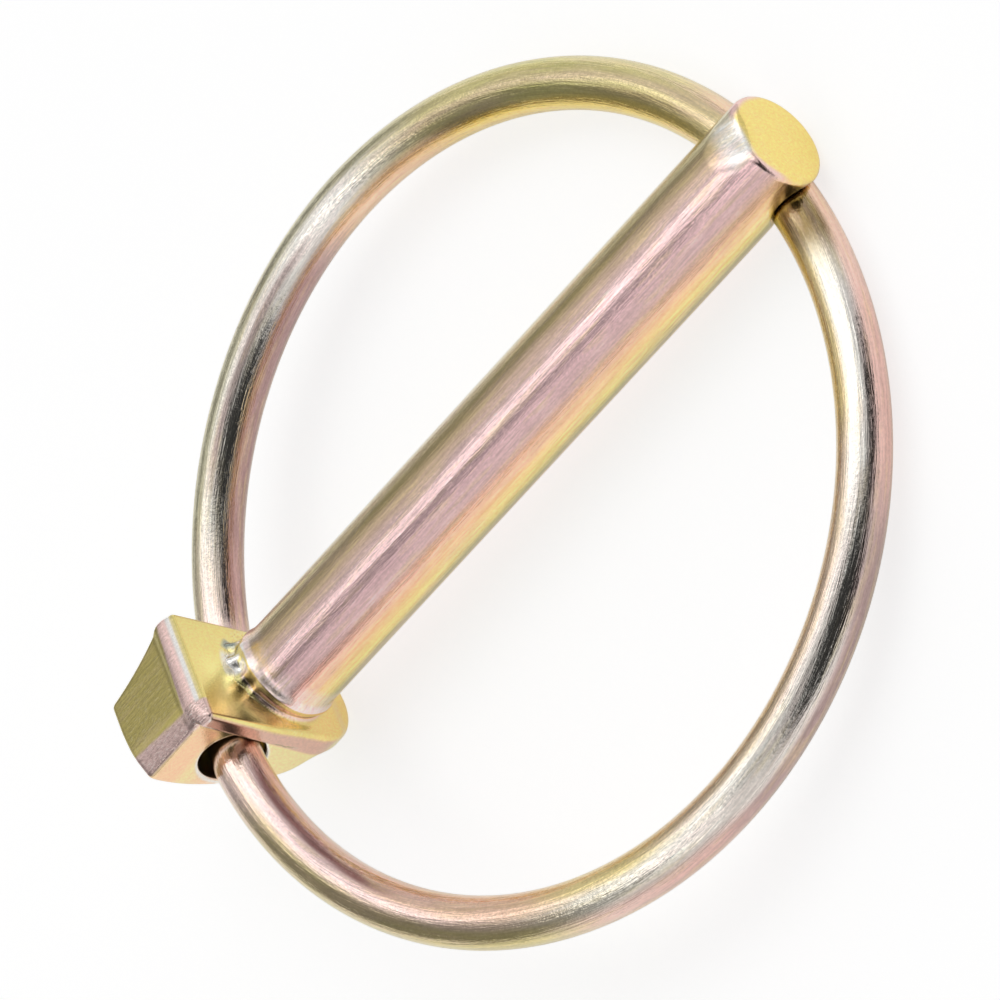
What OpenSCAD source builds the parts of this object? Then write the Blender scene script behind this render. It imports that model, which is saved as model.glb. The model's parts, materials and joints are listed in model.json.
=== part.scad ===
// Lynch pin: a forged pin with an eye head, and a spring wire ring that swings over to
// hold the pin's tip. Built in the pin's own frame, then laid down as it comes to rest.
// Pin's frame: X along the shank from the head's seat to the tip, Z up to the head's tab.

/* [Shank] */
// Diameter of the shank
shank_d = 6; // [5:0.1:8]
// Length from the head's seat to the end face
shank_len = 45.9; // [40:0.05:60]
// Bevel round the end face
end_bevel = 0.25; // [0.1:0.05:0.6]

/* [Tip] */
// Thickness of the lip between the notch and the end face
lip = 1.05; // [0.6:0.05:2]
// Gap between the wire and each wall of the notch
notch_side_gap = 0.32; // [0.2:0.01:0.6]
// Gap between the wire and the roof of the notch
notch_roof_gap = 0.15; // [0.05:0.01:0.4]
// Depth of the press mark on top of the tip
mark_depth = 0.65; // [0.2:0.05:0.8]
// Length of the press mark back from the end face
mark_run = 2.2; // [1:0.1:4]
// Length of the tip's slight taper, back from the end face
tip_len = 5.9; // [5.5:0.1:8]
// How much thinner the taper makes the end of the tip
tip_relief = 0.1; // [0.05:0.05:0.3]

/* [Head] */
// Width of the head across its flat sides
head_w = 7.4; // [6.8:0.1:10]
// Height of the tab's face above the shank's axis
tab_top = 6.45; // [5.8:0.05:9]
// Length of the tab back from the seat
tab_len = 6.6; // [6:0.05:9]
// Length of the steep bevel at the tab's front edge
nose_run = 0.55; // [0.3:0.05:0.7]
// Drop of the steep bevel at the tab's front edge
nose_drop = 0.35; // [0.2:0.05:0.8]
// Length of the flat bevel behind the steep one
brow_run = 0.75; // [0.4:0.05:1.2]
// Drop of the flat bevel behind the steep one
brow_drop = 0.1; // [0.05:0.05:0.4]
// Width of the tab's face at the seat, from mid width to its near edge
near_face_w = 2.6; // [2.2:0.1:3.2]
// Angle at which the face's near edge draws in to the rear
near_narrowing = 6; // [2:1:12]
// Slope of the bevel along the tab's near side
near_slope = 12; // [8:1:40]
// Slope of the far side's two flanks, which meet in a hollow
flank_slope = 65; // [55:1:80]
// Angle at which the front flank draws in to the rear
front_narrowing = 31; // [25:1:40]
// Distance behind the seat at which the rear flank takes over
rear_flank_x = 2.9; // [2.5:0.1:3.5]
// Width of the tab's face there, from mid width to its far edge
rear_flank_y = 2.6; // [2.2:0.1:3.2]
// Angle at which the rear flank draws in to the rear
rear_narrowing = 9; // [5:1:15]
// Length and width of the corner taken off at the rear, near side
rear_corner_run = 0.5; // [0.3:0.1:1]
rear_corner_in = 2.7; // [2:0.1:3.2]
// Thickness of the head behind the seat, at the height of the hinge
head_t = 5.3; // [5.1:0.05:7]
// Thickness of the head behind the seat, at the lobe's centre
neck_t = 3.45; // [3.2:0.05:5]
// Drop of the round lobe's centre below the shank's axis
lobe_drop = 1.6; // [0.8:0.1:2.5]
// Thickness of the flange at the lobe
flange_t = 1.2; // [0.8:0.05:1.6]

/* [Hole] */
// Diameter of the hole through the head
hole_d = 3.8; // [3.6:0.05:4.1]
// Distance of the hinge axis behind the seat, at mid width
hinge_back = 2.35; // [2.15:0.05:2.6]
// Height of the hinge axis above the shank's axis, at mid width
hinge_up = 1.55; // [1.4:0.05:2.4]
// Slant of the hole, high on the near side
hole_slant = 11; // [8:1:15]
// Skew of the hole, forward on the far side
hole_skew = 6; // [0:1:8]
// Gap between the wire and the wall of the hole in front of it
hinge_gap = 0.12; // [0.1:0.01:0.3]

/* [Ring] */
// Diameter of the ring's wire
wire_d = 3; // [2.6:0.1:3.2]
// Depth of the wire's centre under the shank's axis, in the notch
wire_drop = 1.85; // [1.6:0.05:2.1]
// Angle by which the wire crosses the notch out of square, seen from above
notch_yaw = 8.7; // [5:0.1:12]
// Angle by which the wire rises through the notch to the far side
notch_rise = 9.8; // [6:0.1:12]
// Gap from the head's near side to the corner of the wire's bend
near_bend_gap = 0.13; // [0.1:0.01:1]
// Gap from the head's far side to the corner of the wire's bend
far_bend_gap = 1.07; // [0.6:0.01:1.6]
// Length of each bend before and after its corner
bend_reach = 1.2; // [1:0.1:1.4]
// Space between the wire's two ends, inside the hole
end_space = 1.8; // [1:0.1:3]

/* [Hidden] */
$fn = 96;

wire_r = wire_d / 2;
tip_d = shank_d - tip_relief;

// Notch: its roof is half round, with its own axis under the wire's
notch_r = wire_r + notch_side_gap;
notch_x = shank_len - lip - notch_r;
notch_drop = wire_r + notch_roof_gap - notch_r;
wire_heading = [
    -sin(notch_yaw),
    cos(notch_yaw) * cos(notch_rise),
    cos(notch_yaw) * sin(notch_rise)
];
// Between the notch's walls the wire bows out towards the tip, so it lies a little ahead
// of the notch's middle
wire_ahead = 0.15;
wire_x = notch_x + wire_ahead;
wire_far = [wire_x, 0, -wire_drop];

// Hinge axis, from the near side (-Y) to the far side (+Y)
hinge_heading = [
    cos(hole_slant) * sin(hole_skew),
    cos(hole_slant) * cos(hole_skew),
    -sin(hole_slant)
];
hinge_mid = [-hinge_back, 0, hinge_up];
// The wire is drawn forward in the hole, so the hole's axis lies behind the hinge axis
hole_behind = (hole_d - wire_d) / 2 - hinge_gap;
hole_mid = hinge_mid - hole_behind * [cos(hole_skew), -sin(hole_skew), 0];
side_along_hinge = head_w / 2 / hinge_heading.y;
near_corner = hinge_mid - (side_along_hinge + near_bend_gap) * hinge_heading;
far_corner = hinge_mid + (side_along_hinge + far_bend_gap) * hinge_heading;

// Beads between the stretches of wire
bead_over = 0.02;
bead_half = 0.25;
bead_trim = 0.1;

// Head outline
lobe_r = head_w / 2;
lobe_bottom = lobe_drop + lobe_r;
// Height over which the head's back slopes in from the lobe's centre to the flange
web_drop = 1.3;

// Press mark: part of a ball, mark_run long and mark_depth deep at the end face
mark_r = (mark_run * mark_run + mark_depth * mark_depth) / (2 * mark_depth);

// At rest the lobe's rim and the wire under the tip touch the floor, and the part
// rolls back a little from the line on which the wire lies level
settle_roll = 0.85;
rest_roll = notch_rise - settle_roll;
lobe_depth = lobe_drop * cos(rest_roll) + lobe_r;
wire_depth = wire_drop * cos(rest_roll) + wire_r;
rest_pitch = atan((lobe_depth - wire_depth) / wire_x);

function unit(v) = v / norm(v);

// A bow is an arc that leaves start along heading and stops reach short of goal, on a
// straight line to goal
function bow_side(start, heading, goal) =
    unit((goal - start) - ((goal - start) * heading) * heading);
function bow_r(start, heading, goal, reach) =
    ((goal - start) * (goal - start) - reach * reach)
    / (2 * (goal - start) * bow_side(start, heading, goal));
function bow_turn(start, heading, goal, reach) =
    let (
        r = bow_r(start, heading, goal, reach),
        ahead = (goal - start) * heading,
        aside = (goal - start) * bow_side(start, heading, goal),
        turn = atan2(ahead, r - aside)
    )
    (turn < 0 ? turn + 360 : turn) - atan2(reach, r);
function bow_end(start, heading, goal, reach) =
    let (
        r = bow_r(start, heading, goal, reach),
        turn = bow_turn(start, heading, goal, reach)
    )
    start + r * (1 - cos(turn)) * bow_side(start, heading, goal) + r * sin(turn) * heading;

// Each stretch of wire stops a hair short of its ends, where a bead joins it to the next
module bow(start, heading, goal, reach = 0) {
    side = bow_side(start, heading, goal);
    r = bow_r(start, heading, goal, reach);
    centre = start + r * side;
    up = cross(-side, heading);
    trim = atan(bead_trim / r);
    multmatrix([
        [-side.x, heading.x, up.x, centre.x],
        [-side.y, heading.y, up.y, centre.y],
        [-side.z, heading.z, up.z, centre.z]
    ])
        rotate([0, 0, trim])
            rotate_extrude(angle = bow_turn(start, heading, goal, reach) - 2 * trim)
                translate([r, 0])
                    circle(d = wire_d);
}

// A round rod of length h from start along heading
module rod(start, heading, h, d) {
    translate(start)
        rotate([0, acos(heading.z), atan2(heading.y, heading.x)])
            cylinder(h = h, d = d);
}

// A bead that joins two stretches of wire, fatter by a hair so that their skins cross
module bead(at, heading) {
    rod(at - bead_half * heading, heading, 2 * bead_half, wire_d + 2 * bead_over);
}

// Half of the ring: from the notch round to the hole, then bent into it
module half_ring(heading, corner, inward) {
    bend_start = bow_end(wire_far, heading, corner, bend_reach);
    bend_heading = unit(corner - bend_start);
    bend_stop = corner + bend_reach * inward;
    stub = abs((hinge_mid - bend_stop) * inward) - end_space / 2;
    bow(wire_far, heading, corner, bend_reach);
    bead(bend_start, bend_heading);
    bow(bend_start, bend_heading, bend_stop);
    bead(bend_stop, inward);
    rod(bend_stop + bead_trim * inward, inward, stub - bead_trim, wire_d);
}

// Outline of the head seen along the shank: a tab above, a half round lobe below
module seat_outline() {
    translate([-head_w / 2, -lobe_drop])
        square([head_w, tab_top + lobe_drop]);
    translate([0, -lobe_drop])
        circle(r = lobe_r);
}

// Outline of the head seen from its side, with the flange at the lobe
module side_outline() {
    polygon([
        [0, -lobe_bottom],
        [0, tab_top - brow_drop - nose_drop],
        [-nose_run, tab_top - brow_drop],
        [-nose_run - brow_run, tab_top],
        [-tab_len, tab_top],
        [-head_t, hinge_up],
        [-neck_t, -lobe_drop],
        [-flange_t, -lobe_drop - web_drop],
        [-flange_t, -lobe_bottom]
    ]);
}

// Outline of the head seen from above, with a corner taken off at the rear
module top_outline() {
    polygon([
        [0, -head_w / 2],
        [0, head_w / 2],
        [-tab_len, head_w / 2],
        [-tab_len, -head_w / 2 + rear_corner_in],
        [-tab_len + rear_corner_run, -head_w / 2]
    ]);
}

// What is cut from one side of the tab, beyond an edge that runs through [-x, y] on its face
module tab_side_cut(x, y, narrowing, slope) {
    translate([-x, y, tab_top])
        rotate([0, 0, narrowing])
            rotate([-slope, 0, 0])
                translate([-2 * tab_len, -head_w, 0])
                    cube([4 * tab_len, 2 * head_w, head_w]);
}

module tab_cuts() {
    mirror([0, 1, 0])
        tab_side_cut(0, near_face_w, near_narrowing, near_slope);
    intersection() {
        tab_side_cut(rear_flank_x, rear_flank_y, front_narrowing, flank_slope);
        tab_side_cut(rear_flank_x, rear_flank_y, rear_narrowing, flank_slope);
    }
}

module head_blank() {
    intersection() {
        rotate([90, 0, 0])
            linear_extrude(height = 2 * head_w, center = true)
                side_outline();
        translate([-tab_len, 0, 0])
            rotate([90, 0, 90])
                linear_extrude(height = tab_len)
                    seat_outline();
        translate([0, 0, -lobe_bottom])
            linear_extrude(height = tab_top + lobe_bottom)
                top_outline();
    }
}

module shank() {
    rotate([0, 90, 0]) {
        translate([0, 0, -flange_t / 2])
            cylinder(h = shank_len - tip_len + flange_t / 2, d = shank_d);
        translate([0, 0, shank_len - tip_len])
            cylinder(h = tip_len - end_bevel, d1 = shank_d, d2 = tip_d);
        translate([0, 0, shank_len - end_bevel])
            cylinder(h = end_bevel, d1 = tip_d, d2 = tip_d - 2 * end_bevel);
    }
}

// Room for the wire: a slot along it, open downwards, with a half round roof
module notch() {
    across = 2 * shank_d;
    translate([notch_x, 0, -wire_drop])
        rotate([notch_rise, 0, 0])
            rotate([0, 0, notch_yaw])
                translate([0, 0, notch_drop]) {
                    rotate([90, 0, 0])
                        cylinder(h = across, r = notch_r, center = true);
                    translate([-notch_r, -across / 2, -shank_d])
                        cube([2 * notch_r, across, shank_d]);
                }
}

module pin() {
    color("#c8a85a")
        rest_pose()
            difference() {
                union() {
                    head_blank();
                    shank();
                }
                tab_cuts();
                rod(hole_mid - 2 * head_w * hinge_heading, hinge_heading, 4 * head_w, hole_d);
                notch();
                translate([shank_len, 0, tip_d / 2 - mark_depth + mark_r])
                    sphere(r = mark_r);
            }
}

module ring() {
    color("#d8c48c")
        rest_pose() {
            half_ring(-wire_heading, near_corner, hinge_heading);
            half_ring(wire_heading, far_corner, -hinge_heading);
            bead(wire_far, wire_heading);
        }
}

module rest_pose() {
    rotate([-rest_roll, rest_pitch, 0])
        children();
}

pin();
ring();
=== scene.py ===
import json
import math

import bpy
import numpy as np
from mathutils import Matrix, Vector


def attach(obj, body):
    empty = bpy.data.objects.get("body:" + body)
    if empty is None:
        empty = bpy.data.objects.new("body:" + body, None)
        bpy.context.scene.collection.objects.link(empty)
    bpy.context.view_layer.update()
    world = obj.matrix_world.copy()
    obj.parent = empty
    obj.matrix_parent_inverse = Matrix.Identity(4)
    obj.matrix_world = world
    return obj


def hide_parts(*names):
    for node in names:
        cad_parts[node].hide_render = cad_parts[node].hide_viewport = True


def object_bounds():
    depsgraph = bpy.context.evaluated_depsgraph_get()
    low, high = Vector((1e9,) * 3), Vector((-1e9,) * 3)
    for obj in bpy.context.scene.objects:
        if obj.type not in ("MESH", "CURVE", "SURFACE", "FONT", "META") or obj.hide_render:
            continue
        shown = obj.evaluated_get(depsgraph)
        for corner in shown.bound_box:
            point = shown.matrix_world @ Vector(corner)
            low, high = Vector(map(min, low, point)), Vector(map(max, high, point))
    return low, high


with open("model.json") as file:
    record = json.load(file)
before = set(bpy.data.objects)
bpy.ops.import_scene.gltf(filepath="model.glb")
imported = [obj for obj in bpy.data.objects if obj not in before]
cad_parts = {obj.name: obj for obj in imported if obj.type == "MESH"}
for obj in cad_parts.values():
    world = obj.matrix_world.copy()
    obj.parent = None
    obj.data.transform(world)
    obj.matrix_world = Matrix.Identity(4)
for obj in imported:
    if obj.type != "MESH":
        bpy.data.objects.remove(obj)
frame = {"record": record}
cad_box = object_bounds()

# ---------------------------------------------------------------------------------------
# Pin. A single steel forging: a round shank, an eye head with a tab to pull on, a cross
# hole for the wire and a notch under the tip. Zinc plated and yellow chromated, with the
# brush marks of the rod still along the shank.

# Sizes are in millimetres, in the pin's own frame: x runs from the head's seat along the
# shank, z points up through the tab, and the side towards -y is called the near side.
mm_per_m = 1000

shank_r = 3.0
shank_root = -0.6
taper_start = 40.0
taper_stop = 45.9
tip_relief = 0.05
end_x = 45.6
end_lean_y = 0.11
end_lean_z = -0.07
end_edge = 0.35

# Rings round the shank's root, a collar and a groove: distance from the seat, width, height
root_rings = [(1.15, 0.35, 0.15), (0.45, 0.22, -0.13)]
# Lumps of flash at the root: distance from the seat, angle, angular width, height
root_lumps = [
    (0.3, 57, 9, 0.6),
    (0.3, 79, 8, 0.5),
    (0.25, 103, 7, 0.3),
    (0.9, 70, 6, 0.15),
    (0.4, 122, 5, 0.12),
]
lump_length = 0.45

notch_at = np.array([43.1, 0.0, -1.85])
notch_r = 1.68
notch_yaw = math.radians(8.7)
notch_rise = math.radians(9.8)

mark_r = 3.6
mark_depth = 0.75
mark_squeeze = 0.75
mark_at = np.array([end_x + 0.3, -0.3, shank_r - mark_depth + mark_r])

head_half_w = 3.7
lobe_z = -1.6
seat_lean = 0.035
flange_t = 1.25
flange_proud = 0.36
tab_skew = 0.07
forged_edge = 0.55
# The tab's outline from the side, in x and z: over the brow to the rear, then down the back
tab_over = [(-0.21, 6.12), (-0.74, 6.36), (-1.38, 6.43), (-6.6, 6.41)]
tab_back = [(-6.6, 6.42), (-5.3, 1.55), (-3.45, -1.6), (-1.2, -2.95)]
near_bevel_at = (-1.8, -2.45, 6.42)
far_flank_at = (-2.9, 2.58, 6.42)
# The cut across the head's near rear corner, in -x and y
rear_cut = [(6.05, -head_half_w), (6.57, -0.9)]

hole_r = 1.9
hole_slant = math.radians(11)
hole_skew = math.radians(6)
hinge_mid = np.array([-2.35, 0.0, 1.55])
# The wire lies close to the hole's front wall, so the hole's axis is a little behind it
hole_offset = 0.28 * np.array([-math.cos(hole_skew), math.sin(hole_skew), 0])


def heading_of(slant, skew):
    """Direction of the cross hole, from the near side to the far side."""
    return np.array([
        math.cos(slant) * math.sin(skew),
        math.cos(slant) * math.cos(skew),
        -math.sin(slant),
    ])


hinge_heading = heading_of(hole_slant, hole_skew)


def blend_max(a, b, soft):
    """The larger of two distances, rounded over where they meet."""
    near = np.clip(1 - np.abs(a - b) / soft, 0, 1)
    return np.maximum(a, b) + soft * near * near / 4


def blend_min(a, b, soft):
    """The smaller of two distances, with a fillet where they meet."""
    return -blend_max(-a, -b, soft)


def beyond(u, v, a, b):
    """Distance in a plane past the line from a to b, positive on its right."""
    run = np.array(b, float) - np.array(a, float)
    run /= np.linalg.norm(run)
    return run[1] * (u - a[0]) - run[0] * (v - a[1])


def from_line(x, y, z, point, heading):
    """Distance from an endless line."""
    rel = [x - point[0], y - point[1], z - point[2]]
    along = sum(r * h for r, h in zip(rel, heading))
    return np.sqrt(np.maximum(sum(r * r for r in rel) - along * along, 0))


def facet(x, y, z, at, narrowing, slope, side):
    """Distance past a flat through at, along a tab side that narrows to the rear."""
    n, s = math.radians(narrowing), math.radians(slope)
    out = (-math.sin(s) * math.sin(n), side * math.sin(s) * math.cos(n), math.cos(s))
    return (x - at[0]) * out[0] + (y - at[1]) * out[1] + (z - at[2]) * out[2]


def shank_solid(x, y, z):
    """The round shank, with its flash and collar, its slight taper and its leaning end."""
    swell = 0
    for at, wide, high in root_rings:
        swell = swell + high * np.exp(-((x - at) / wide) ** 2)
    for at, angle, wide, high in root_lumps:
        turn = np.angle(np.exp(1j * (np.arctan2(z, y) - math.radians(angle))))
        swell = swell + high * np.exp(-((x - at) / lump_length) ** 2 - (turn / math.radians(wide)) ** 2)
    taper = tip_relief * np.clip((x - taper_start) / (taper_stop - taper_start), 0, 1)
    side = np.hypot(y, z) - (shank_r - taper + swell)
    lean = math.sqrt(1 + end_lean_y ** 2 + end_lean_z ** 2)
    end = (x - end_x - end_lean_y * y - end_lean_z * z) / lean
    return np.maximum(blend_max(side, end, end_edge), shank_root - x)


def head_solid(x, y, z):
    """The eye head: a bevelled tab on a body that slopes back to a thin round flange."""
    seat = x + seat_lean * np.maximum(z, 0)
    skewed = x - tab_skew * (y - 0.3)
    top = blend_max(seat, beyond(x, z, tab_over[0], tab_over[1]), 0.15)
    top = blend_max(top, beyond(skewed, z, tab_over[1], tab_over[2]), 0.1)
    top = blend_max(top, beyond(skewed, z, tab_over[2], tab_over[3]), 0.1)
    top = blend_max(top, facet(x, y, z, near_bevel_at, narrowing=6, slope=12, side=-1), 0.12)
    front_flank = facet(x, y, z, far_flank_at, narrowing=31, slope=65, side=1)
    rear_flank = facet(x, y, z, far_flank_at, narrowing=9, slope=65, side=1)
    top = blend_max(top, blend_min(front_flank, rear_flank, 1.2), 0.2)
    body = blend_max(top, beyond(x, z, tab_back[0], tab_back[1]), 0.35)
    body = blend_max(body, beyond(-x, y, *rear_cut), 0.35)
    body = blend_max(body, beyond(x, z, tab_back[1], tab_back[2]), forged_edge)
    body = blend_max(body, beyond(x, z, tab_back[2], tab_back[3]), forged_edge)
    flange = blend_max(top, -flange_t - x, 0.4)
    solid = blend_min(body, flange, 0.8)
    # On the near side the flange stands proud of the body, most of all towards the tab
    proud = flange_proud * np.clip((x + 1.2) / 0.25, 0, 1) * np.clip((z + 1.5) / 3, 0, 1)
    half_w = head_half_w + np.where(y < 0, proud, 0)
    rim = np.where(z < lobe_z, np.hypot(y, z - lobe_z), np.abs(y)) - half_w
    return blend_max(solid, rim, 0.35)


def hole_solid(x, y, z):
    """The cross hole that the wire's two ends turn in."""
    return from_line(x, y, z, hinge_mid + hole_offset, hinge_heading) - hole_r


def notch_solid(x, y, z):
    """The notch that the wire snaps into: a slanted slot with a half round roof."""
    rel = np.stack([x - notch_at[0], y - notch_at[1], z - notch_at[2]])
    cr, sr = math.cos(notch_rise), math.sin(notch_rise)
    cy, sy = math.cos(notch_yaw), math.sin(notch_yaw)
    rise = np.array([[1, 0, 0], [0, cr, -sr], [0, sr, cr]])
    yaw = np.array([[cy, -sy, 0], [sy, cy, 0], [0, 0, 1]])
    across, _, above_roof = np.tensordot((rise @ yaw).T, rel, 1)
    return np.hypot(across, np.maximum(above_roof, 0)) - notch_r


def mark_solid(x, y, z):
    """The press mark on top of the tip, a shallow bowl that is longer crosswise."""
    rel_x, rel_y, rel_z = x - mark_at[0], y - mark_at[1], z - mark_at[2]
    return np.sqrt(rel_x ** 2 + (rel_y * mark_squeeze) ** 2 + rel_z ** 2) - mark_r


def pin_solid(x, y, z):
    solid = blend_min(head_solid(x, y, z), shank_solid(x, y, z), 0.35)
    solid = blend_max(solid, -hole_solid(x, y, z), 0.35)
    solid = blend_max(solid, -notch_solid(x, y, z), 0.2)
    return blend_max(solid, -mark_solid(x, y, z), 0.7)


def graded(spans):
    """Grid lines through spans of (start, stop, step)."""
    lines = [np.arange(start, stop - step / 2, step) for start, stop, step in spans]
    return np.concatenate([*lines, [spans[-1][1]]])


def skin_of(solid, gx, gy, gz):
    """A closed quad mesh where a distance field is zero, one point to each crossed cell."""
    lines = (gx, gy, gz)
    field = solid(*np.meshgrid(*lines, indexing="ij"))
    inside = field < 0
    cells = tuple(n - 1 for n in inside.shape)
    total = np.zeros(cells + (3,))
    count = np.zeros(cells)
    crossings = []
    # Each grid edge that crosses the surface adds its crossing to the four cells round it
    for axis in range(3):
        low = [slice(None)] * 3
        high = [slice(None)] * 3
        low[axis] = slice(None, -1)
        high[axis] = slice(1, None)
        low, high = tuple(low), tuple(high)
        cut = inside[low] != inside[high]
        at = np.argwhere(cut)
        f0, f1 = field[low][cut], field[high][cut]
        place = np.stack([lines[k][at[:, k]] for k in range(3)], 1)
        place[:, axis] += f0 / (f0 - f1) * np.diff(lines[axis])[at[:, axis]]
        others = [k for k in range(3) if k != axis]
        around = []
        for da, db in ((0, 0), (1, 0), (1, 1), (0, 1)):
            cell = at.copy()
            cell[:, others[0]] -= da
            cell[:, others[1]] -= db
            cell = tuple(cell.T)
            np.add.at(total, cell, place)
            np.add.at(count, cell, 1)
            around.append(cell)
        crossings.append((axis, around, inside[low][cut]))
    used = count > 0
    points = total[used] / count[used][:, None]
    index = np.full(cells, -1)
    index[used] = np.arange(used.sum())
    faces = []
    for axis, around, starts_inside in crossings:
        quad = np.stack([index[cell] for cell in around], 1)
        flip = starts_inside if axis == 1 else ~starts_inside
        quad[flip] = quad[flip][:, ::-1]
        faces.append(quad)
    return points, np.concatenate(faces)


def slope_of(solid, points, reach=0.01):
    """How fast a distance field grows along x, y and z."""
    grads = []
    for axis in range(3):
        step = np.zeros(3)
        step[axis] = reach
        ahead, behind = points + step, points - step
        grads.append(solid(*ahead.T) - solid(*behind.T))
    return np.stack(grads, 1) / (2 * reach)


def settle(solid, points, rounds=4, longest=0.05):
    """Points moved onto the surface itself, with its normals there."""
    for _ in range(rounds):
        slope = slope_of(solid, points)
        size = np.maximum((slope ** 2).sum(1), 1e-6)
        step = solid(*points.T) / size
        points = points - np.clip(step, -longest, longest)[:, None] * slope
    slope = slope_of(solid, points)
    return points, slope / np.maximum(np.linalg.norm(slope, axis=1), 1e-9)[:, None]


def lay_matrix(record):
    """Turns the pin's own frame to how it lies: shank and hinge axes are on record."""
    shank = np.array(record["mounts"][0]["axis"], float)
    hinge = -np.array(record["behaviour"]["joints"][0]["axis"], float)

    def basis(first, second):
        third = np.cross(first, second)
        third /= np.linalg.norm(third)
        return np.stack([first, np.cross(third, first), third], 1)

    turn = basis(shank, hinge) @ basis(np.array([1.0, 0, 0]), hinge_heading).T
    return Matrix([[*row, 0] for row in turn.tolist()] + [[0, 0, 0, 1]])


lay = lay_matrix(frame["record"])


def steel_body(name, points, faces, straight, normals=None):
    """A smooth body laid at rest, that keeps its straightened place for its finish."""
    turn = np.array(lay.to_3x3())
    mesh = bpy.data.meshes.new(name)
    mesh.from_pydata((points @ turn.T / mm_per_m).tolist(), [], faces)
    mesh.shade_smooth()
    if normals is not None:
        mesh.normals_split_custom_set_from_vertices((normals @ turn.T).tolist())
    place = mesh.attributes.new("straight", "FLOAT_VECTOR", "POINT")
    place.data.foreach_set("vector", straight.astype(np.float32).ravel())
    body = bpy.data.objects.new(name, mesh)
    bpy.context.scene.collection.objects.link(body)
    return body


# Grid for the pin's skin: fine over the head and the tip, coarser along the plain shank
fine_step = 0.12
shank_step = 0.3
head_span = (-6.9, 1.6)
tip_span = (40.5, 46.3)
width_span = (-4.1, 4.1)
height_span = (-5.7, 6.8)
pin_points, pin_faces = skin_of(
    pin_solid,
    graded([(*head_span, fine_step), (head_span[1], tip_span[0], shank_step), (*tip_span, fine_step)]),
    graded([(*width_span, fine_step)]),
    graded([(*height_span, fine_step)]),
)
pin_points, pin_normals = settle(pin_solid, pin_points)
pin = steel_body("pin_forging", pin_points, pin_faces.tolist(), pin_points, pin_normals)


def above(value, low, soft):
    """0 below low and 1 above it, faded over soft."""
    rise = np.clip((value - low) / soft + 0.5, 0, 1)
    return rise * rise * (3 - 2 * rise)


def below(value, high, soft):
    return above(-value, -high, soft)


def between(value, low, high, soft):
    return above(value, low, soft) * below(value, high, soft)


def bevel_line(x):
    """The y at which the tab's near bevel starts."""
    return -2.5 - 0.1 * (x + 1.8)


def pin_brush(points):
    """How much the brush marks show: most on the shank, less on top of the tab."""
    x, y, z = points.T
    shank = between(x, 1.2, 45.2, 0.6)
    tab_top = above(z, 6.32, 0.1) * below(x, -1.5, 0.2)
    return 0.12 + 0.88 * shank + 0.4 * tab_top


def pin_worn(points):
    """Where the forging is rough: the near bevel, the brow, the tab and the flash."""
    x, y, z = points.T
    bevel = 0.65 * above(z, 6.0, 0.1) * below(y, bevel_line(x), 0.2)
    brow = 0.35 * above(z, 6.2, 0.1) * between(x, -1.5, -0.7, 0.15)
    tab = 0.28 * above(z, 6.35, 0.05) * between(x, -6.2, -1.9, 0.5) * between(y, -1.9, 2.2, 0.6)
    flash = 0.7 * between(x, -0.1, 0.6, 0.3) * below(np.hypot(y, z), 3.8, 0.4) * above(z, -0.5, 2)
    return np.clip(bevel + brow + tab + flash, 0, 1)


# A white for painted highlights and a silver for wear and painted highlights, then the chromate's main
# colours
highlight_white = (0.97, 0.95, 0.91)
silver_wear_and_highlight = (0.93, 0.88, 0.80)
pink = (0.92, 0.64, 0.60)
peach = (0.95, 0.65, 0.43)
gold = (0.93, 0.75, 0.34)
olive = (0.66, 0.58, 0.28)


def shade_along(place, stops):
    """Colour at each place, blended between stops of (place, colour)."""
    at = [stop for stop, _ in stops]
    return np.stack([np.interp(place, at, [colour[k] for _, colour in stops]) for k in range(3)], 1)


def shade_round(angle, stops):
    """Colour by angle in degrees, from stops that go once round."""
    first, colour = stops[0]
    return shade_along((angle - first) % 360 + first, [*stops, (first + 360, colour)])


def layered(tint, layers):
    """A tint with soft patches over it, each a mask and its colour."""
    for mask, colour in layers:
        tint = tint + mask[:, None] * (np.array(colour) - tint)
    return tint


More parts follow.
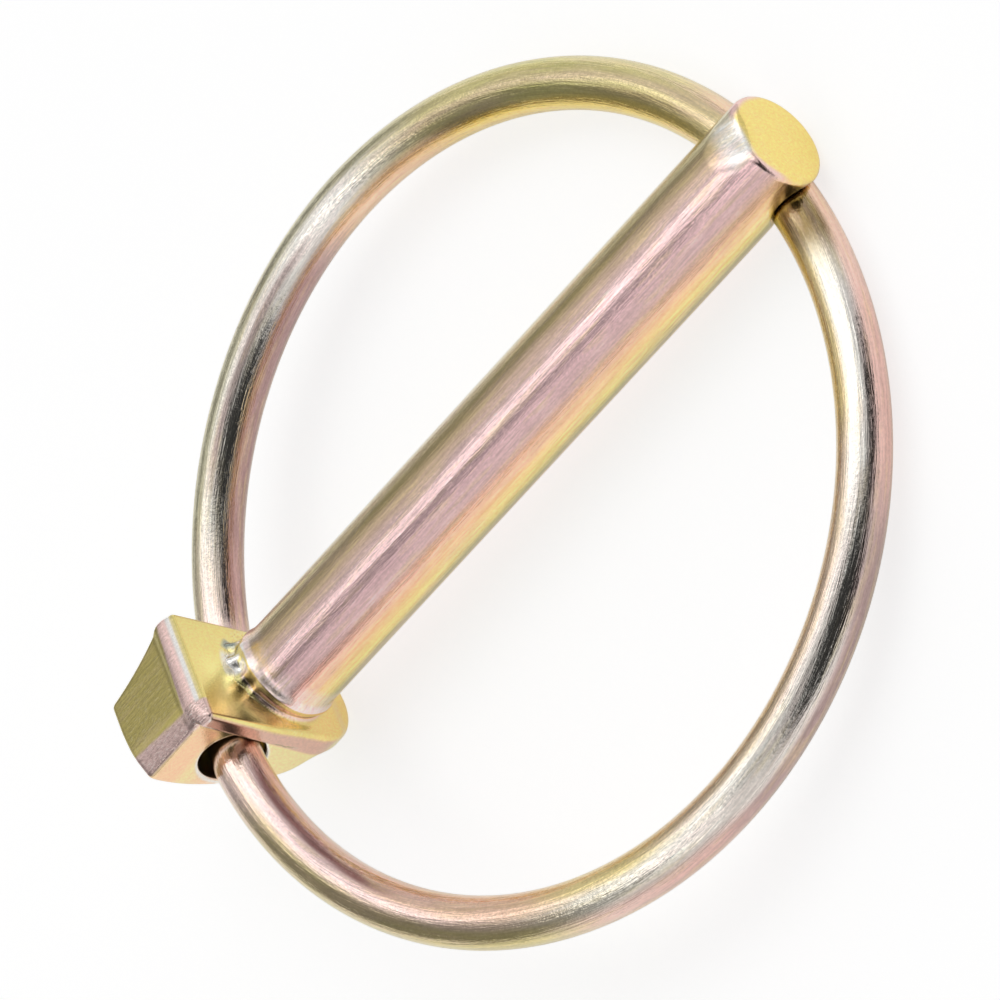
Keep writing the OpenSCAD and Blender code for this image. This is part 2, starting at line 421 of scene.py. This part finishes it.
def pin_tint(points):
    """The chromate's colour over the forging, with painted highlights and painted shade in it: bands along
    the shank, one cast to a face.
    """
    x, y, z = points.T
    radius = np.hypot(y, z)
    angle = np.degrees(np.arctan2(z, y))
    seat = above(x, -0.4, 0.15) * below(x, 0.35, 0.2)
    near_face = below(y, -2.5, 1)
    # Bands by degrees round the shank, over the top to the near side and back underneath
    # Among the chromate's hues they paint light: a highlight near 112 degrees, a shaded line near 136, and
    # painted shade darkest at 208
    tint = shade_round(angle, [
        (48, (0.90, 0.85, 0.70)), (58, (0.80, 0.72, 0.50)), (70, (0.72, 0.62, 0.36)),
        (82, (0.74, 0.59, 0.29)), (98, (0.71, 0.52, 0.38)), (112, (1.0, 0.72, 0.70)),
        (136, (0.92, 0.61, 0.62)), (150, (1.0, 0.68, 0.66)), (162, (0.95, 0.62, 0.48)),
        (174, (0.96, 0.61, 0.35)), (184, (1.0, 0.76, 0.34)), (192, (0.98, 0.80, 0.32)),
        (200, (0.69, 0.63, 0.26)), (208, (0.38, 0.36, 0.17)), (222, olive),
        (250, peach), (290, pink), (335, gold),
    ])
    return layered(tint, [
        # The seat, with a painted highlight where it is brightest over the shank, and its round lobe
        (seat * above(radius, 3.0, 0.2), (0.90, 0.76, 0.29)),
        (seat * between(z, 2.6, 5.2, 1.5) * between(y, -4, 0.5, 2), (1.0, 0.90, 0.37)),
        (seat * below(z, -1.5, 2), (1.0, 0.79, 0.32)),
        # The groove, lightened as painted light in its shade, and painted highlights on the collar round
        # the root and past it
        (between(x, 0.15, 0.65, 0.1) * below(radius, 3.0, 0.1), (0.98, 0.70, 0.58)),
        (between(x, 0.85, 1.6, 0.3), (0.96, 0.80, 0.74)),
        (0.5 * between(x, 0.9, 2.6, 0.8), (0.97, 0.80, 0.78)),
        # The flash: a painted highlight in its middle and painted dark reflections on both sides
        (between(x, 0.05, 1.3, 0.15) * between(angle, 68, 96, 8) * below(radius, 3.9, 0.2), highlight_white),
        (between(x, 0.3, 1.2, 0.2) * between(angle, 104, 118, 6), (0.34, 0.26, 0.20)),
        (between(x, 0.05, 0.6, 0.15) * between(angle, 50, 62, 6) * below(radius, 3.9, 0.2),
         (0.34, 0.40, 0.36)),
        # A painted highlight on the shank round the press mark
        (above(x, 43.8, 1.2) * between(angle, 62, 124, 14) * above(radius, 1.6, 0.4), highlight_white),
        # The head's sides: all of them, the near face's rear and upper part, the flange's rim
        (below(x, -0.15, 0.15), (0.90, 0.77, 0.40)),
        (below(x, -3.6, 2.2) * near_face * below(z, 3.6, 2), peach),
        (between(z, 4.4, 6.0, 0.8) * near_face * below(x, -1.3, 0.5), (0.97, 0.64, 0.40)),
        (between(x, -1.25, -0.1, 0.15) * below(y, -3.3, 0.3), (0.74, 0.48, 0.38)),
        # The tab's top, olive and darkened as a painted dark reflection, the brow, a painted highlight
        # along the nose and a painted shadow line before it, the near bevel
        (above(z, 6.28, 0.1) * below(x, -0.3, 0.2), (0.65, 0.55, 0.19)),
        (above(z, 6.0, 0.1) * between(x, -1.42 + tab_skew * y, -0.5, 0.12), (0.98, 0.70, 0.65)),
        (above(z, 5.9, 0.1) * between(x, -0.58, -0.27, 0.08), highlight_white),
        (between(z, 5.95, 6.3, 0.08) * between(x, -0.29, -0.13, 0.06), (0.34, 0.31, 0.17)),
        (above(z, 6.02, 0.1) * below(y, bevel_line(x), 0.15), (0.80, 0.58, 0.54)),
        # The end face, its upper edge, and painted highlights on the press mark and the near rim of the
        # hole
        (above(x, 45.2, 0.2), (0.96, 0.76, 0.25)),
        (above(x, 45.0, 0.3) * above(radius, 2.65, 0.3) * above(z, 0.5, 1), pink),
        (0.7 * below(mark_solid(x, y, z), 0.04, 0.08), silver_wear_and_highlight),
        (below(x, -1.1, 0.2) * below(y, -3.4, 0.2) * below(hole_solid(x, y, z), 0.22, 0.12), silver_wear_and_highlight),
    ])


def keep_tint(body, tint):
    """Stores a colour for each point, which the body's finish reads as its tint."""
    rows = np.concatenate([tint, np.ones((len(tint), 1))], 1).astype(np.float32)
    layer = body.data.attributes.new("tint", "FLOAT_COLOR", "POINT")
    layer.data.foreach_set("color", rows.ravel())


def keep_values(body, name, values):
    """Stores a number for each point, which the body's finish reads by its name."""
    layer = body.data.attributes.new(name, "FLOAT", "POINT")
    layer.data.foreach_set("value", values.astype(np.float32))


keep_tint(pin, pin_tint(pin_points))
keep_values(pin, "brushed", pin_brush(pin_points))
keep_values(pin, "worn", pin_worn(pin_points))


def add_node(tree, kind, inputs, **settings):
    """A node with its settings and its inputs, each a value or another node's output."""
    made = tree.nodes.new(kind)
    for name, value in settings.items():
        setattr(made, name, value)
    for socket, value in inputs.items():
        if isinstance(value, bpy.types.NodeSocket):
            tree.links.new(value, made.inputs[socket])
        else:
            made.inputs[socket].default_value = value
    return made


def mixed(tree, share, under, over):
    """One colour over another by a share."""
    return add_node(tree, "ShaderNodeMix", {0: share, 6: under, 7: over}, data_type="RGBA").outputs[2]


def times(tree, a, b):
    return add_node(tree, "ShaderNodeMath", {0: a, 1: b}, operation="MULTIPLY").outputs[0]


def plus(tree, a, b):
    return add_node(tree, "ShaderNodeMath", {0: a, 1: b}, operation="ADD").outputs[0]


def chromate_group():
    """Yellow chromate on drawn steel: lengthwise streaks, drifting colour, fine grain."""
    group = bpy.data.node_groups.new("yellow_chromate", "ShaderNodeTree")
    for name, kind in (
        ("Place", "NodeSocketVector"),
        ("Tint", "NodeSocketColor"),
        ("Shine", "NodeSocketFloat"),
        ("Drift", "NodeSocketFloat"),
        ("Brushed", "NodeSocketFloat"),
        ("Worn", "NodeSocketFloat"),
    ):
        group.interface.new_socket(name, in_out="INPUT", socket_type=kind)
    for name, kind in (
        ("Color", "NodeSocketColor"),
        ("Roughness", "NodeSocketFloat"),
        ("Height", "NodeSocketFloat"),
    ):
        group.interface.new_socket(name, in_out="OUTPUT", socket_type=kind)
    given = group.nodes.new("NodeGroupInput").outputs
    made = group.nodes.new("NodeGroupOutput").inputs

    def noise(waves, detail, seed):
        """Noise with so many waves to a millimetre along, across and up."""
        place = add_node(group, "ShaderNodeVectorMath", {0: given["Place"], 1: waves}, operation="MULTIPLY")
        moved = add_node(group, "ShaderNodeVectorMath", {0: place.outputs[0], 1: (seed, seed, seed)})
        texture = add_node(group, "ShaderNodeTexNoise", {
            "Vector": moved.outputs[0], "Scale": 1.0, "Detail": detail, "Roughness": 0.6,
        })
        return texture.outputs["Fac"]

    def ranged(value, low, high, to_low, to_high):
        return add_node(group, "ShaderNodeMapRange", {
            "Value": value, "From Min": low, "From Max": high, "To Min": to_low, "To Max": to_high,
        }).outputs["Result"]

    streak = noise((0.22, 4.5, 4.5), 3.0, 3.0)
    scratch = noise((0.8, 13.0, 13.0), 2.0, 11.0)
    cloud = noise((0.13, 1.1, 1.1), 3.0, 27.0)
    bloom = noise((0.25, 2.2, 2.2), 3.0, 51.0)
    grain = noise((5.0, 7.0, 7.0), 3.0, 73.0)
    nick = noise((3.2, 8.0, 8.0), 2.0, 91.0)

    drift = times(group, given["Drift"], given["Brushed"])
    to_pink = times(group, drift, ranged(cloud, 0.48, 0.66, 0, 0.6))
    to_gold = times(group, drift, ranged(bloom, 0.5, 0.68, 0, 0.6))
    colour = mixed(group, to_pink, given["Tint"], (*pink, 1))
    colour = mixed(group, to_gold, colour, (*gold, 1))
    bright_nick = times(group, given["Worn"], ranged(nick, 0.54, 0.66, 0, 0.5))
    dark_nick = times(group, given["Worn"], ranged(nick, 0.46, 0.34, 0, 0.55))
    colour = mixed(group, bright_nick, colour, (*silver_wear_and_highlight, 1))
    colour = mixed(group, dark_nick, colour, (0.34, 0.28, 0.22, 1))
    lines = times(group, ranged(streak, 0.3, 0.7, 0.86, 1.1), ranged(scratch, 0.3, 0.7, 0.91, 1.08))
    lined = add_node(group, "ShaderNodeMix", {0: given["Brushed"], 2: 1.0, 3: lines}).outputs[0]
    value = times(group, lined, ranged(grain, 0.3, 0.7, 0.9, 1.07))
    toned = add_node(group, "ShaderNodeVectorMath", {0: colour, 3: value}, operation="SCALE").outputs[0]
    group.links.new(toned, made["Color"])

    duller = times(group, given["Brushed"], ranged(streak, 0.3, 0.7, 0.05, -0.04))
    group.links.new(plus(group, given["Shine"], duller), made["Roughness"])

    marks = plus(group, times(group, streak, 0.6), times(group, scratch, 0.3))
    height = times(group, marks, given["Brushed"])
    height = plus(group, height, times(group, grain, 0.22))
    height = plus(group, height, times(group, given["Worn"], nick))
    group.links.new(height, made["Height"])
    return group


yellow_chromate = chromate_group()


def chromate_steel(name, shine, drift, bump):
    """A plated steel: the shared finish on this piece's own tint, olive at grazing angles."""
    steel = bpy.data.materials.new(name)
    steel.use_nodes = True
    tree = steel.node_tree
    finish = add_node(tree, "ShaderNodeGroup", {}, node_tree=yellow_chromate)
    finish.inputs["Shine"].default_value = shine
    finish.inputs["Drift"].default_value = drift
    for socket, layer, output in (
        ("Place", "straight", "Vector"),
        ("Tint", "tint", "Color"),
        ("Brushed", "brushed", "Fac"),
        ("Worn", "worn", "Fac"),
    ):
        kept = add_node(tree, "ShaderNodeAttribute", {}, attribute_name=layer)
        tree.links.new(kept.outputs[output], finish.inputs[socket])
    facing = add_node(tree, "ShaderNodeLayerWeight", {"Blend": 0.35}).outputs["Facing"]
    grazing = add_node(tree, "ShaderNodeMapRange", {
        "Value": facing, "From Min": 0.4, "From Max": 0.95, "To Max": 0.6,
    }).outputs["Result"]
    colour = mixed(tree, grazing, finish.outputs["Color"], (0.60, 0.54, 0.32, 1))
    relief = add_node(tree, "ShaderNodeBump", {
        "Strength": bump, "Distance": 0.0001, "Height": finish.outputs["Height"],
    }).outputs["Normal"]
    bsdf = tree.nodes["Principled BSDF"]
    bsdf.inputs["Metallic"].default_value = 1
    tree.links.new(colour, bsdf.inputs["Base Color"])
    tree.links.new(finish.outputs["Roughness"], bsdf.inputs["Roughness"])
    tree.links.new(relief, bsdf.inputs["Normal"])
    return steel


pin.data.materials.append(chromate_steel("yellow_chromate_forging", shine=0.2, drift=0.5, bump=0.26))
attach(pin, "pin")
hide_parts("pin")

# ---------------------------------------------------------------------------------------
# Ring. One length of spring wire, 3 mm thick, bowed round both sides of the shank and
# bent in at its two ends, which turn in the cross hole of the head.

# A hair under half of 3 mm, so that the skin stays inside the true round
wire_r = 1.499
wire_far = np.array([43.18, 0.0, -1.85])
# How far the wire's two bends stand off the head's sides
near_clear = 0.13
far_clear = 1.07
bend_reach = 1.2
end_space = 1.8
end_chamfer = 0.25
wire_worn = 0.12
wire_step = 0.45
stub_stations = 8
wire_sides = 48

head_edge = head_half_w / hinge_heading[1]
near_corner = hinge_mid - (head_edge + near_clear) * hinge_heading
far_corner = hinge_mid + (head_edge + far_clear) * hinge_heading


def unit(v):
    return v / np.linalg.norm(v)


wire_heading = np.array([
    -math.sin(notch_yaw),
    math.cos(notch_yaw) * math.cos(notch_rise),
    math.cos(notch_yaw) * math.sin(notch_rise),
])


def bow(start, heading, goal, reach=0.0):
    """Points along an arc from start that ends reach short of goal, aimed straight at it."""
    way = goal - start
    side = unit(way - (way @ heading) * heading)
    r = (way @ way - reach * reach) / (2 * way @ side)
    turn = math.atan2(way @ heading, r - way @ side)
    turn = turn % (2 * math.pi) - math.atan2(reach, r)
    steps = max(6, round(r * turn / wire_step))
    angles = np.linspace(0, turn, steps + 1)[:, None]
    return start + r * (1 - np.cos(angles)) * side + r * np.sin(angles) * heading


def half_ring(heading, corner, inward):
    """Centreline from the notch round to the wire's end inside the hole."""
    arc = bow(wire_far, heading, corner, bend_reach)
    bend = bow(arc[-1], unit(corner - arc[-1]), corner + bend_reach * inward)
    stub_end = hinge_mid - inward * end_space / 2
    stub = np.linspace(bend[-1], stub_end, stub_stations)
    return np.concatenate([arc, bend[1:], stub[1:]])


near_half = half_ring(-wire_heading, near_corner, hinge_heading)
far_half = half_ring(wire_heading, far_corner, -hinge_heading)
centreline = np.concatenate([near_half[::-1], far_half[1:]])

# The way up from the ring to the eye. Seen along it the wire has an inner and an outer
# edge, and its painted highlights, painted dark reflections and chromate hues change from the one to the
# other.
to_eye = unit(np.array([0.47, -0.61, 0.64]))


def wire_skin(line, radius, sides):
    """A round tube along a line. For each point it also gives the place on the
    straightened wire, and how far out it lies: -1 on the inner edge, 1 on the outer."""
    heading = np.gradient(line, axis=0)
    heading /= np.linalg.norm(heading, axis=1)[:, None]
    # The first section may start anywhere, and the others turn no more than the line does
    across = np.zeros_like(line)
    across[0] = unit(np.cross(heading[0], [1.0, 0.2, 0.1]))
    for i in range(1, len(line)):
        across[i] = unit(across[i - 1] - (across[i - 1] @ heading[i]) * heading[i])
    up = np.cross(heading, across)
    run = np.concatenate([[0], np.cumsum(np.linalg.norm(np.diff(line, axis=0), axis=1))])
    last = len(line) - 1
    sections = [(0, radius - end_chamfer, 0.0), (0, radius, end_chamfer)]
    sections += [(i, radius, 0.0) for i in range(1, last)]
    sections += [(last, radius, -end_chamfer), (last, radius - end_chamfer, 0.0)]
    angle = np.linspace(0, 2 * math.pi, sides, endpoint=False)
    points, places, outward = [], [], []
    for i, r, shift in sections:
        out = np.cos(angle)[:, None] * across[i] + np.sin(angle)[:, None] * up[i]
        outer = unit(np.cross(heading[i], to_eye))
        outer *= np.sign(outer @ (line[i] - line.mean(0)))
        points.append(line[i] + shift * heading[i] + r * out)
        places.append(np.stack([np.full(sides, run[i]), r * np.cos(angle), r * np.sin(angle)], 1))
        outward.append(out @ outer)
    faces = []
    for j in range(len(sections) - 1):
        a = j * sides + np.arange(sides)
        b = j * sides + (np.arange(sides) + 1) % sides
        faces += np.stack([a, b, b + sides, a + sides], 1).tolist()
    faces.append(list(range(sides))[::-1])
    faces.append(list(range((len(sections) - 1) * sides, len(sections) * sides)))
    return np.concatenate(points), faces, np.concatenate(places), np.concatenate(outward)


ring_points, ring_faces, ring_places, ring_outward = wire_skin(centreline, wire_r, wire_sides)
ring = steel_body("spring_wire_ring", ring_points, ring_faces, ring_places)


def ring_tint(run, out):
    """The chromate's colour on the wire, with painted highlights where it runs silver and nearly
    white, painted light at the hole's mouth and painted dark reflections in bands along it. run is in
    millimetres from the end on the near side, with the notch at 80, and out goes from the inner edge to the
    outer edge."""
    rose = (0.94, 0.71, 0.68)
    painted_dark_mauve = (0.38, 0.23, 0.22)
    dark_red_band = (0.24, 0.09, 0.08)
    moss = (0.66, 0.57, 0.24)
    tint = shade_along(run, [
        (0, (1.0, 0.80, 0.62)), (6, rose), (18, rose), (27, (0.90, 0.70, 0.54)),
        (32, (0.96, 0.90, 0.76)), (40, silver_wear_and_highlight), (71, (0.95, 0.92, 0.86)),
        (76, (0.86, 0.72, 0.44)), (84, (0.86, 0.74, 0.40)), (98, (0.72, 0.66, 0.27)),
        (106, (0.80, 0.70, 0.36)), (113, (0.97, 0.92, 0.86)), (134, (0.95, 0.90, 0.80)),
        (145, pink),
    ])
    leaning = out - 0.02 * (run - 121)
    return layered(tint, [
        # The near side's bow; its outer edge and a band inside it are painted dark reflections
        (0.85 * between(run, 36, 72, 6) * above(out, 0.5, 0.3), painted_dark_mauve),
        (0.72 * between(run, 53, 70, 6) * between(out, 0.12, 0.6, 0.25), painted_dark_mauve),
        (0.8 * between(run, 36, 66, 6) * below(out, -0.65, 0.3), (0.82, 0.60, 0.36)),
        (0.8 * between(run, 27, 38, 5) * below(out, -0.45, 0.3), (0.88, 0.70, 0.26)),
        (0.8 * between(run, 30, 42, 5) * above(out, 0.35, 0.4), (0.84, 0.54, 0.47)),
        # Its stretch next to the hole, with a painted dark reflection line on the inner side
        (0.85 * between(run, 7, 31, 6) * above(out, 0.2, 0.4), moss),
        (0.7 * between(run, 16, 30, 5) * below(out, -0.2, 0.4), (0.90, 0.58, 0.42)),
        (0.9 * between(run, 4, 18, 5) * between(out, -0.66, -0.36, 0.16), dark_red_band),
        # Both sides of the notch, and the painted shadow that the tip casts on the wire there
        (0.75 * between(run, 60, 86, 6) * above(out, 0.35, 0.3), (0.88, 0.56, 0.48)),
        (0.8 * between(run, 64, 80, 4) * below(out, -0.6, 0.3), (0.86, 0.64, 0.20)),
        (0.92 * between(run, 74, 78, 2.5) * between(out, -0.8, 0.55, 0.3), (0.24, 0.16, 0.06)),
        # The far side's bow, from the tip to its middle, with two painted dark reflection streaks
        (0.85 * between(run, 84, 108, 6) * below(out, -0.5, 0.3), (0.90, 0.68, 0.18)),
        (0.8 * between(run, 84, 93, 6) * between(out, -0.45, -0.15, 0.25), (0.48, 0.36, 0.18)),
        (0.8 * between(run, 101, 112, 6) * between(out, -0.6, -0.25, 0.25), (0.48, 0.36, 0.18)),
        (0.5 * between(run, 84, 108, 6) * between(out, 0.05, 0.35, 0.25), (0.80, 0.58, 0.46)),
        # The far side's bow, from its middle to the hole, with painted dark reflections along its inner
        # side and middle
        (0.8 * between(run, 106, 117, 5) * below(out, -0.35, 0.3), (0.90, 0.58, 0.36)),
        (0.9 * between(run, 116, 142, 6) * below(out, -0.3, 0.3), (0.38, 0.21, 0.21)),
        (0.65 * between(run, 117, 132, 4) * between(leaning, 0.1, 0.38, 0.15), painted_dark_mauve),
        (0.7 * between(run, 106, 142, 6) * above(out, 0.65, 0.3), (0.62, 0.58, 0.32)),
    ])


keep_tint(ring, ring_tint(ring_places[:, 0], ring_outward))
keep_values(ring, "brushed", np.ones(len(ring_points)))
keep_values(ring, "worn", np.full(len(ring_points), wire_worn))
ring.data.materials.append(chromate_steel("yellow_chromate_wire", shine=0.12, drift=0.4, bump=0.5))
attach(ring, "ring")
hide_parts("ring")

# ---------------------------------------------------------------------------------------
# Table. A large sheet of matt white paper that the part lies on. The camera sees it lifted
# to nearly white, and it still takes the part's shadow.

table_size = 4
camera_lift = 0.74
mirror_lift = 0.38

bpy.ops.mesh.primitive_plane_add(size=table_size, location=(0, 0, cad_box[0].z))
table = bpy.context.object
table.name = "table"
table_paper = bpy.data.materials.new("table_paper")
table_paper.use_nodes = True
paper_tree = table_paper.node_tree
paper = paper_tree.nodes["Principled BSDF"]
paper.inputs["Roughness"].default_value = 0.9
paper.inputs["Specular IOR Level"].default_value = 0
paper.inputs["Emission Color"].default_value = (1, 1, 1, 1)
rays = add_node(paper_tree, "ShaderNodeLightPath", {}).outputs
paper_tone = mixed(paper_tree, rays["Is Camera Ray"], (0.9, 0.9, 0.9, 1), (0.4, 0.4, 0.4, 1))
lift = plus(
    paper_tree,
    times(paper_tree, rays["Is Camera Ray"], camera_lift),
    times(paper_tree, rays["Is Glossy Ray"], mirror_lift),
)
paper_tree.links.new(paper_tone, paper.inputs["Base Color"])
paper_tree.links.new(lift, paper.inputs["Emission Strength"])
table.data.materials.append(table_paper)

# ---------------------------------------------------------------------------------------
# Light and camera. A white light tent stands all round, with brighter panels and dark
# gaps that the round steel mirrors as bands, and the camera looks down over the near side.

world = bpy.data.worlds.new("studio")
bpy.context.scene.world = world
world.use_nodes = True
sky = world.node_tree
sky_way = add_node(sky, "ShaderNodeTexCoord", {}).outputs["Generated"]

tent_level = 0.68
# Azimuth, elevation, reach and soft edge in degrees, and level
tent_patches = [
    (-178, 31, 31, 9, 0.26),
    (124, 14, 16, 6, 0.3),
    (104, 60, 13, 4, 1.45),
    (-168, 69, 8, 3, 1.7),
    (-116, 51, 6, 3, 1.4),
    (-139, 55, 5.5, 2.5, 0.12),
    (-102, 73, 6, 3, 0.25),
    (44, 57, 21, 4, 1.4),
    (-52, 34, 26, 4, 0.03),
    (-46, 66, 11, 4, 0.05),
    (-12, 12, 18, 4, 0.04),
]


def tent_patch(under, azimuth, elevation, reach, soft, level):
    """A round patch of another level over the light tent."""
    a, e = math.radians(azimuth), math.radians(elevation)
    way = (math.cos(e) * math.cos(a), math.cos(e) * math.sin(a), math.sin(e))
    facing = add_node(sky, "ShaderNodeVectorMath", {0: sky_way, 1: way}, operation="DOT_PRODUCT")
    share = add_node(sky, "ShaderNodeMapRange", {
        "Value": facing.outputs["Value"],
        "From Min": math.cos(math.radians(reach + soft)),
        "From Max": math.cos(math.radians(max(reach - soft, 0))),
    }, interpolation_type="SMOOTHSTEP")
    return add_node(sky, "ShaderNodeMix", {0: share.outputs["Result"], 2: under, 3: level}).outputs[0]


tent = tent_level
for patch in tent_patches:
    tent = tent_patch(tent, *patch)
seen = add_node(sky, "ShaderNodeLightPath", {}).outputs["Is Camera Ray"]
tent = add_node(sky, "ShaderNodeMix", {0: seen, 2: tent, 3: 1.0}).outputs[0]
sky.links.new(tent, sky.nodes["Background"].inputs["Strength"])
sky.nodes["Background"].inputs["Color"].default_value = (1, 1, 1, 1)

# In the pin's own frame, as the part's sizes are
camera_at = np.array([197.17, -233.46, 240.07])
camera_back = np.array([0.4712, -0.6107, 0.6364])
camera_up = np.array([0.6473, 0.7295, 0.2209])
sensor_width = 36
picture_px = 1000
focal_px = 2765 * 2.5

camera_data = bpy.data.cameras.new("camera")
camera_data.sensor_width = sensor_width
camera_data.lens = sensor_width * focal_px / picture_px
camera_data.clip_start = 0.01
camera_data.clip_end = 10
camera = bpy.data.objects.new("camera", camera_data)
bpy.context.scene.collection.objects.link(camera)
turn = np.array(lay.to_3x3())
back = unit(turn @ camera_back)
right = unit(np.cross(turn @ camera_up, back))
up = np.cross(back, right)
at = turn @ camera_at / mm_per_m
camera.matrix_world = Matrix([
    [right[0], up[0], back[0], at[0]],
    [right[1], up[1], back[1], at[1]],
    [right[2], up[2], back[2], at[2]],
    [0, 0, 0, 1],
])
bpy.context.scene.camera = camera

bpy.context.scene.view_settings.view_transform = "Standard"
